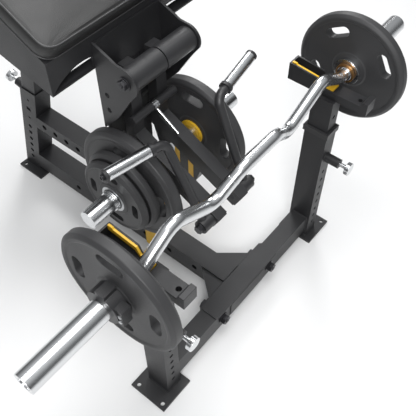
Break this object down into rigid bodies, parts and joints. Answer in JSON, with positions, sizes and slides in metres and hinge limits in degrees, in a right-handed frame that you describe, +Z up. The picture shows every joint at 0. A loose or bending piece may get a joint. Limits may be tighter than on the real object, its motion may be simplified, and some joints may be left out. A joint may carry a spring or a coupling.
{
  "type": "biceps machine",
  "caption": "Plate-loaded biceps machine with sloping arm pad, swinging levers and handles, and a rack that holds a loaded curl bar.",
  "frame": {"origin": "middle of the bounding box on the floor", "axes": "+X across the machine to the user's left seen from the pad, +Y from the rack towards the arm pad, +Z up"},
  "size_m": [1.342, 1.0856, 1.0442],
  "materials": {
    "frame_black": "matte fine-textured black powder coat",
    "lever_black": "matte fine-textured black powder coat on the moving levers",
    "chrome": "hard chrome, bright",
    "hardware_black": "black oxide bolts and axles",
    "plate_urethane": "matte black urethane weight plate",
    "plastic_black": "black moulded plastic",
    "yellow_plastic": "yellow plastic liner and markings",
    "rubber_black": "black rubber stops",
    "pad_vinyl": "black embossed vinyl over foam"
  },
  "bodies": {
    "frame": {"left_upright": "frame_black", "right_upright": "frame_black", "left_foot": "frame_black", "right_foot": "frame_black", "left_guide_cap": "plastic_black", "right_guide_cap": "plastic_black", "cross_beam": "frame_black", "saddle_plate": "frame_black", "front_plate": "frame_black", "beam_bolts": "hardware_black", "beam_flange": "frame_black", "centre_beam": "frame_black", "middle_rail": "frame_black", "rear_post": "frame_black", "rear_foot": "frame_black", "rear_slide_post": "frame_black", "mast": "frame_black", "hub_bracket": "frame_black", "hub_axle": "hardware_black", "lever_stops": "rubber_black", "base_fins": "yellow_plastic", "pad_console": "frame_black", "arm_pad": "pad_vinyl"},
    "left_slide": {"left_slide_post": "frame_black", "left_cradle": "frame_black", "left_liner": "yellow_plastic"},
    "right_slide": {"right_slide_post": "frame_black", "right_cradle": "frame_black", "right_liner": "yellow_plastic"},
    "left_pin": {"left_pop_pin": "chrome"},
    "right_pin": {"right_pop_pin": "chrome"},
    "rear_pin": {"rear_pop_pin": "chrome"},
    "left_arm": {"left_lever": "lever_black", "left_horn": "chrome", "left_stop_ring": "yellow_plastic", "left_stripes": "yellow_plastic", "left_plate_big": "plate_urethane", "left_plate_mid": "plate_urethane", "left_plate_small": "plate_urethane", "left_horn_clip": "chrome", "left_pivot_pin": "hardware_black", "link_bar": "lever_black", "link_rod": "chrome"},
    "right_arm": {"right_lever": "lever_black", "right_horn": "chrome", "right_stop_ring": "yellow_plastic", "right_stripes": "yellow_plastic", "right_plate_big": "plate_urethane", "right_pivot_pin": "hardware_black"},
    "left_handle_body": {"left_handle": "lever_black"},
    "right_handle_body": {"right_handle": "lever_black"},
    "left_grip_body": {"left_grip": "chrome"},
    "right_grip_body": {"right_grip": "chrome"},
    "curl_bar": {"curl_shaft": "chrome"},
    "left_sleeve_body": {"left_sleeve": "chrome", "left_bar_plate": "plate_urethane", "left_lock": "plastic_black"},
    "right_sleeve_body": {"right_sleeve": "chrome", "right_bar_plate": "plate_urethane"}
  },
  "joints": [
    {"name": "lever_curl", "type": "hinge", "parent": "frame", "child": "left_arm", "pos_m": [0, -0.11825, 0.757], "axis": [-1, 0, 0], "range_deg": [0, 20]},
    {"name": "right_lever_curl", "type": "hinge", "parent": "frame", "child": "right_arm", "pos_m": [0, -0.11825, 0.757], "axis": [-1, 0, 0], "range_deg": [0, 20]},
    {"name": "left_handle_swing", "type": "hinge", "parent": "left_arm", "child": "left_handle_body", "pos_m": [-0.084, -0.32025, 0.4], "axis": [1, 0, 0], "range_deg": [-3, 12]},
    {"name": "right_handle_swing", "type": "hinge", "parent": "right_arm", "child": "right_handle_body", "pos_m": [0.084, -0.32025, 0.4], "axis": [1, 0, 0], "range_deg": [-3, 12]},
    {"name": "left_grip_spin", "type": "hinge", "parent": "left_handle_body", "child": "left_grip_body", "pos_m": [-0.132, -0.20825, 0.632], "axis": [-0.9866, 0.1378, 0.0871], "continuous": true},
    {"name": "right_grip_spin", "type": "hinge", "parent": "right_handle_body", "child": "right_grip_body", "pos_m": [0.132, -0.20825, 0.632], "axis": [0.9866, 0.1378, 0.0871], "continuous": true},
    {"name": "left_height", "type": "slide", "parent": "frame", "child": "left_slide", "axis": [0, 0, 1], "range_m": [-0.06, 0]},
    {"name": "right_height", "type": "slide", "parent": "frame", "child": "right_slide", "axis": [0, 0, 1], "range_m": [-0.06, 0]},
    {"name": "left_pin_pull", "type": "slide", "parent": "frame", "child": "left_pin", "axis": [0, -1, 0], "range_m": [0, 0.012], "stiffness_N_per_m": 400, "springref_m": -0.01},
    {"name": "right_pin_pull", "type": "slide", "parent": "frame", "child": "right_pin", "axis": [0, -1, 0], "range_m": [0, 0.012], "stiffness_N_per_m": 400, "springref_m": -0.01},
    {"name": "rear_pin_pull", "type": "slide", "parent": "frame", "child": "rear_pin", "axis": [0, 0.9711, 0.2385], "range_m": [0, 0.012], "stiffness_N_per_m": 400, "springref_m": -0.01},
    {"name": "bar_lift", "type": "slide", "parent": "frame", "child": "curl_bar", "axis": [0, 0, 1], "range_m": [0, 0.25]},
    {"name": "left_sleeve_spin", "type": "hinge", "parent": "curl_bar", "child": "left_sleeve_body", "pos_m": [-0.4, -0.39275, 0.6065], "axis": [-1, 0, 0], "continuous": true},
    {"name": "right_sleeve_spin", "type": "hinge", "parent": "curl_bar", "child": "right_sleeve_body", "pos_m": [0.4, -0.39275, 0.6065], "axis": [1, 0, 0], "continuous": true}
  ],
  "couplings": [
    {"joint": "right_lever_curl", "follows": "lever_curl", "ratio": 1}
  ]
}
